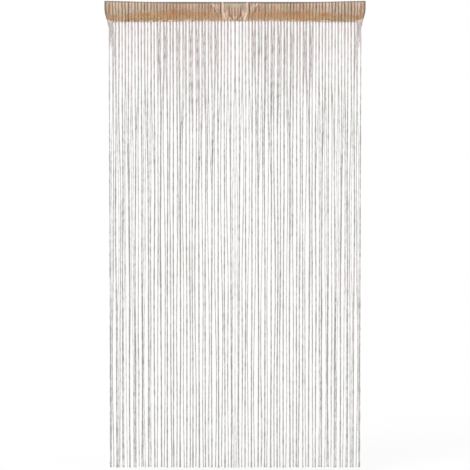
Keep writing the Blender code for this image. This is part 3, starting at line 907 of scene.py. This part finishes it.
def warp_knit():
    made, tree, shader = cloth_material(
        "warp_knitted_polyester", roughness=0.85, sheen_weight=0.2, sheen_roughness=0.5
    )
    carried, parts, number, between, blend, noise = node_tools(tree)
    rib, dense, warm = parts(carried("masks"))
    hem, edge, bare = parts(carried("marks"))
    tone = carried("tone", "Fac")
    flat = add(tree, "UVMap", uv_map="cloth").outputs[0]
    across, up, _ = parts(flat)
    from_edge = number("PINGPONG", up, GIRTH / 2)

    def patches(size, detail):
        """Patches of that width and height in the flat cloth, from 0 to 1."""
        spots = noise(flat, detail, scale=(1 / size[0], 1 / size[1], 0))
        return between(spots, 0.3, 0.7, 0.0, 1.0)

    streak, cloud, speck = patches(STREAK, 3.0), patches(CLOUD, 2.0), patches(SPECK, 1.0)
    mottle, grain, cast = patches(MOTTLE, 2.0), patches(GRAIN, 2.0), patches(CAST, 1.0)

    # The pocket: pale ground with broken ribs
    broken = between(cloud, 0.0, 1.0, 0.65, 1.25)
    broken = number("ADD", broken, between(mottle, 0.0, 1.0, -0.35, 0.35))
    rib_shown = number("MULTIPLY", rib, broken, clamp=True)
    pocket = blend(rib_shown, POCKET_GROUND, POCKET_RIB)

    # The band: mottled red and golden, greyer at its foot, with fainter ribs, grain and dark specks
    gold = between(from_edge, *REDDER_ABOVE, -0.35, 0.4)
    gold = number("ADD", gold, between(dense, 0.8, 0.95, -0.45, 0.0))
    ground = blend(number("ADD", mottle, gold, clamp=True), BAND_RED, BAND_GOLD)
    ground = blend(between(from_edge, *GREYER_BELOW, 0.0, 0.85), ground, BAND_FOOT)
    band_rib = number("MULTIPLY", rib_shown, between(mottle, 0.1, 0.7, 0.3, 1.0))
    band = blend(band_rib, ground, BAND_RIB)
    band = blend(1.0, band, between(grain, 0.0, 1.0, 0.62, 1.26), "MULTIPLY")
    band = blend(between(speck, 0.10, 0.32, 0.85, 0.0), band, BAND_RIB)
    ragged = number("ADD", 1.0, number("MULTIPLY_ADD", streak, 0.7, -0.35))
    colour = blend(number("MULTIPLY", dense, ragged, clamp=True), pocket, band)

    # What lies over both, one after the other: the greyer cast below the fold, pinker and greener
    # patches, the hem's yarn, redder patches, the foot, the plain patch, painted shade in the
    # creases and painted highlights on their crests, and last the painted shade along the top fold
    under_fold = [GIRTH / 2 - below for below in GREYER_UNDER]
    pinker = between(cast, 0.55, 0.95, 0.0, 0.4)
    redder = number("MAXIMUM", between(streak, 0.35, 0.65, 0.8, 0.1), number("MULTIPLY", hem, 0.6))
    for share, shade in (
        (between(from_edge, *under_fold, 0.0, 0.4), UNDER_FOLD),
        (number("MULTIPLY", pinker, between(dense, 0.0, 1.0, 1.0, 0.4)), CAST_PINK),
        (between(cast, 0.45, 0.05, 0.0, 0.4), CAST_OLIVE),
        (number("MULTIPLY", hem, between(dense, 0.0, 1.0, 0.8, 0.45)), HEM_YARN),
        (number("MULTIPLY", redder, warm), WARM_YARN),
        (number("MULTIPLY", edge, -0.9, clamp=True), blend(rib_shown, FOOT_GROUND, FOOT_RIB)),
        (number("MULTIPLY", bare, between(streak, 0.0, 1.0, 0.95, 0.55)), BARE_YARN),
        # the tone: painted highlight and shade of the folds, and paler or darker cloth
        (number("MULTIPLY", tone, 0.8, clamp=True), CREST),
        (number("MULTIPLY", tone, -0.8, clamp=True), CREASE),
        # last, the painted shade along the top fold
        (number("MULTIPLY", edge, 0.9, clamp=True), blend(rib_shown, FOLD_SHADE, FOOT_RIB)),
    ):
        colour = blend(share, colour, shade)
    uneven = number("MULTIPLY_ADD", streak, 0.50, number("MULTIPLY_ADD", cloud, 0.14, 0.68))
    colour = blend(1.0, colour, uneven, "MULTIPLY")

    # A stitch is a small V: its rows rise to both sides of each column's middle
    off_middle = number("PINGPONG", number("MULTIPLY", across, 1 / WALE), 0.5)
    slanted = number("MULTIPLY_ADD", up, 1 / COURSE, off_middle)
    loop = number("SINE", number("MULTIPLY", slanted, math.tau))
    relief = number("MULTIPLY_ADD", loop, 0.5, off_middle)
    # painted shade in the stitches' hollows and a faint painted highlight on their loops
    colour = blend(1.0, colour, between(relief, -0.4, 0.5, 0.88, 1.04), "MULTIPLY")
    surface(tree, shader, colour, relief, 0.6, 0.5 * MM)
    return made


knit = warp_knit()
heading = heading_cloth(knit)
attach(heading, "root")
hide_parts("heading")


# ==== The stitches on the heading ====
# Chain stitches of the strings' yarn run up each rib, over the fold and down the back. Rows of
# plain stitches in tan thread close the pocket and hold the end hems.

CHAIN_STITCH = 5.3 * MM         # along the rib
CHAIN_SPREAD = 1.5 * MM         # from the rib's line to the far end of a stitch's leg
SEWN_STITCH, SEWN_PITCH = 4.2 * MM, 5.6 * MM
SEAM_ROW = -63.5 * MM           # the height of the stitches that close the pocket
HEM_ROW = HEM_FROM + 3 * MM
CHAIN_STARTS = 0.3 * MM         # from the rib's line to where a leg starts
CHAIN_OVERLAP = 1.05            # a leg reaches a little into the next stitch


def legs_piece(name, starts, ends, thick, high, material, drawn_rib):
    """Short lengths of yarn or thread on the heading, each a spindle from its start to its end.
    Starts and ends are places in the flat cloth: across, and up from the lower edge."""
    way = ends - starts
    aside = stacked(-way[:, 1], way[:, 0]) / np.hypot(*way.T)[:, None]
    corners = ((-1, 0.0), (0, 1.0), (1, 0.0), (0, -0.4))
    grid = []
    for share, size in ((0, 0.4), (0.5, 1.0), (1, 0.4)):
        for out, up in corners:
            flat = starts + way * share + aside * out * size * thick / 2
            grid.append(on_cloth(flat[:, 0], flat[:, 1], (up * size + 0.25) * high))
    points = np.stack(grid, axis=1)
    faces = ring_quads(3, 4)
    quads = (np.arange(len(starts))[:, None, None] * len(grid) + faces).reshape(-1, 4)
    middle = (starts + ends) / 2
    masks, marks, tone = (np.repeat(v, len(grid), axis=0) for v in heading_values(*middle.T))
    masks[:, 0] = np.maximum(masks[:, 0], np.repeat(drawn_rib, len(grid)))
    flat = np.repeat(middle, quads.shape[0] // len(starts) * 4, axis=0).reshape(-1, 4, 2)
    values = {"masks": masks, "marks": marks, "tone": tone}
    piece = quad_mesh(name, points.reshape(-1, 3), quads, material, {"cloth": flat}, values)
    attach(piece, "root")
    return piece


def chain_stitches():
    rungs = np.arange(0.5, GIRTH / CHAIN_STITCH - 1) * CHAIN_STITCH
    k, up = (each.ravel() for each in np.meshgrid(np.arange(len(rib_lines)), rungs, indexing="ij"))
    height = np.interp(up, outside_along, outside[:, 1])
    line = rib_line(k, height)
    starts = stacked(line, up)
    reach = CHAIN_STITCH * CHAIN_OVERLAP
    ends = np.concatenate([starts + (side * CHAIN_SPREAD, reach) for side in (-1, 1)])
    starts = np.concatenate([starts + (side * CHAIN_STARTS, 0) for side in (-1, 1)])
    drawn_rib = np.tile(rib_darkness[k], 2)
    return legs_piece("rib_chain_stitches", starts, ends, 1.5 * MM, 0.8 * MM, knit, drawn_rib)


def sewn_rows():
    starts, ends = [], []
    across = np.arange(-HEM_ROW, HEM_ROW, SEWN_PITCH)
    hem_ups = np.arange(4 * MM, GIRTH - 4 * MM, SEWN_PITCH)
    front = len(outside) // 2
    up = np.interp(SEAM_ROW, outside[:front, 1], outside_along[:front])
    for level in (up, GIRTH - up):
        starts.append(stacked(across, level + 0 * across))
        ends.append(starts[-1] + (SEWN_STITCH, 0))
    for side in (-1, 1):
        starts.append(stacked(side * HEM_ROW + 0 * hem_ups, hem_ups))
        ends.append(starts[-1] + (0, SEWN_STITCH))
    starts, ends = np.concatenate(starts), np.concatenate(ends)
    drawn_rib = np.full(len(starts), 0.3)
    return legs_piece("sewn_stitches", starts, ends, 0.8 * MM, 0.5 * MM, knit, drawn_rib)


chains = chain_stitches()
seams = sewn_rows()


# ==== The edge that holds the strings ====
# A narrow knitted edge below the band. It dips at each string's root, where the yarn comes out,
# and beyond its ends the yarns of the hem are drawn down to the outermost string.

STRIP_HALF_DEPTH = 1.5 * MM
STRIP_HALF_WIDTH = 679 * MM
STRIP_STEP = 1.9 * MM
BETWEEN_ROOTS = 1.4 * MM        # how deep the edge is between two roots
ROOT_HALF_WIDTH = 2.4 * MM


def root_edge(material):
    across = np.arange(-STRIP_HALF_WIDTH, STRIP_HALF_WIDTH, STRIP_STEP)
    roots = np.array([string.root for string in strings if string.kind in ("strong", "plain")])
    nearest = np.abs(across[:, None] - roots).min(axis=1)
    at_root = np.exp(-((nearest / ROOT_HALF_WIDTH) ** 2))
    depth = BETWEEN_ROOTS + (STRIP_TOP - STRIP_FOOT - BETWEEN_ROOTS) * at_root
    sides = 8
    around = math.tau * (np.arange(sides) + 0.5) / sides
    y = STRIP_HALF_DEPTH * np.cos(around) * (0.8 + 0.2 * at_root[:, None])
    top = STRIP_TOP + raised(across, STRIP_TOP)
    z = top[:, None] - depth[:, None] * (0.5 + 0.5 * np.sin(around))
    points = stacked(across[:, None] + 0 * z, y, z)
    quads = ring_quads(len(across), sides)
    flat = stacked(points[..., 0], 0 * z).reshape(-1, 2)[quads]
    none = 0 * at_root
    masks = stacked(0.8 * at_root, none, none)
    marks = stacked(none, none - 1.3, none)
    values = {
        "masks": np.repeat(masks, sides, axis=0),
        "marks": np.repeat(marks, sides, axis=0),
        # paler between the roots: a painted highlight on the edge between the strings
        "tone": np.repeat(0.7 - 0.7 * at_root, sides),
    }
    return quad_mesh("root_edge", points.reshape(-1, 3), quads, material, {"cloth": flat}, values)


edge = root_edge(knit)
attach(edge, "root")
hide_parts("strings")

# The yarns that leave the end hem and are drawn together to the outermost string or end beside it
CORNER_YARNS = (
    # leaves the hem at, ends at x, at z,      thick,    dye
    (697 * MM,           679 * MM,  -131 * MM, 3.6 * MM, -0.6),
    (692 * MM,           676 * MM,  -138 * MM, 4.0 * MM, 1.5),
    (687 * MM,           673 * MM,  -144 * MM, 4.0 * MM, 2.0),
    (682 * MM,           670 * MM,  -232 * MM, 4.0 * MM, 1.6),
    (677 * MM,           667 * MM,  -214 * MM, 4.0 * MM, 2.0),
    (672 * MM,           664 * MM,  -243 * MM, 4.0 * MM, 1.9),
    (667 * MM,           661 * MM,  -190 * MM, 3.4 * MM, 1.5),
)
CORNER_START = 3 * MM           # how far up the hem they leave it
CORNER_FRONT = -1.2 * MM        # how far to the front they end
CORNER_BEND = 0.35              # how much sooner they come across than a straight line would
CORNER_THINNER = 0.35           # how much of their thickness they lose
CORNER_SHADE = (600 * MM, 30 * MM)   # they have a string's shade this far down, over this
CORNER_RINGS, CORNER_SIDES = 16, 6


def corner_yarns(side):
    points, quads, ply, carried = [], [], [], []
    faces = ring_quads(CORNER_RINGS, CORNER_SIDES)
    share = np.linspace(0, 1, CORNER_RINGS)[:, None]
    around = math.tau * np.arange(CORNER_SIDES) / CORNER_SIDES
    for number, (leaves, ends_x, ends_z, thick, dye) in enumerate(CORNER_YARNS):
        start = on_cloth(np.array(side * leaves), np.array(CORNER_START)) * (1, 0, 1)
        end = (side * ends_x, CORNER_FRONT, ends_z)
        x, y, z = (a + (b - a) * share for a, b in zip(start, end))
        x = x + (end[0] - x) * CORNER_BEND * np.sin(math.pi * share)
        half = thick / 2 * (1 - CORNER_THINNER * share)
        ring = stacked(x + half * np.cos(around), y + half * np.sin(around), z + 0 * around)
        quads.append(faces + len(points) * CORNER_RINGS * CORNER_SIDES)
        points.append(ring.reshape(-1, 3))
        down = np.repeat(CORNER_SHADE[0] + CORNER_SHADE[1] * share, CORNER_SIDES)
        ply.append(stacked(faces % CORNER_SIDES / CORNER_SIDES, down[faces]))
        carried.append(stacked(number + 0 * down, down, dye + 0 * down))
    maps, values = {"ply": np.concatenate(ply)}, {"yarn": np.concatenate(carried)}
    name = "corner_yarns_right" if side > 0 else "corner_yarns_left"
    points, quads = np.concatenate(points), np.concatenate(quads)
    piece = quad_mesh(name, points, quads, yarn_material, maps, values)
    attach(piece, "root")
    return piece


corners = [corner_yarns(side) for side in (-1, 1)]


# ==== The room ====
# A white studio: the curtain hangs in front of white, just clear of a white floor, in even light
# from all round with a broad, soft lamp high on the left. The camera is level with its middle.

FLOOR_HEIGHT = -2520 * MM
FLOOR_HALF_WIDTH = 14.0
CAMERA_AWAY, CAMERA_HEIGHT = 9.0, -1.2487
FRAMED_WIDTH = 2.518            # what the frame shows of the curtain's plane, from side to side
SENSOR = 36.0
FLOOR_GREY = (0.11, 0.13)       # the darkest and the palest grey of the paint
FLOOR_GLOW = 0.834              # what it gives off in the even light, so that it looks white
LAMP_STRENGTH, LAMP_BREADTH = 1.8, math.radians(30)
LAMP_TURN = (math.radians(48), 0, math.radians(-38))


def painted_floor():
    made, tree, shader = cloth_material("matt_white_floor_paint", roughness=0.9)
    place = add(tree, "TexCoord").outputs["Object"]
    grain = add(tree, "TexNoise", {"Vector": place, "Scale": 30.0, "Detail": 2.0}).outputs["Fac"]
    grey = add(tree, "MapRange", {0: grain, 3: FLOOR_GREY[0], 4: FLOOR_GREY[1]}).outputs[0]
    tree.links.new(grey, shader.inputs["Base Color"])
    shader.inputs["Specular IOR Level"].default_value = 0
    shader.inputs["Emission Color"].default_value = (1, 1, 1, 1)
    shader.inputs["Emission Strength"].default_value = FLOOR_GLOW
    return made


floor_mesh = bpy.data.meshes.new("floor")
floor_corners = ((-1, -1), (1, -1), (1, 1), (-1, 1))
floor_mesh.from_pydata(
    [(x * FLOOR_HALF_WIDTH, y * FLOOR_HALF_WIDTH, FLOOR_HEIGHT) for x, y in floor_corners],
    [], [(0, 1, 2, 3)],
)
floor_mesh.materials.append(painted_floor())
floor = bpy.data.objects.new("floor", floor_mesh)
bpy.context.scene.collection.objects.link(floor)

world = bpy.data.worlds.new("even_white")
world.use_nodes = True
world.node_tree.nodes["Background"].inputs["Color"].default_value = (1, 1, 1, 1)
world.node_tree.nodes["Background"].inputs["Strength"].default_value = 1.0
bpy.context.scene.world = world
bpy.context.scene.view_settings.view_transform = "Standard"

lamp = bpy.data.objects.new("broad_lamp", bpy.data.lights.new("broad_lamp", "SUN"))
lamp.data.energy = LAMP_STRENGTH
lamp.data.angle = LAMP_BREADTH
lamp.rotation_euler = LAMP_TURN
bpy.context.scene.collection.objects.link(lamp)

camera = bpy.data.objects.new("camera", bpy.data.cameras.new("camera"))
camera.data.sensor_width = SENSOR
camera.data.lens = SENSOR * CAMERA_AWAY / FRAMED_WIDTH
camera.location = (0, -CAMERA_AWAY, CAMERA_HEIGHT)
camera.rotation_euler = (math.radians(90), 0, 0)
camera.data.clip_end = 100
bpy.context.scene.collection.objects.link(camera)
bpy.context.scene.camera = camera
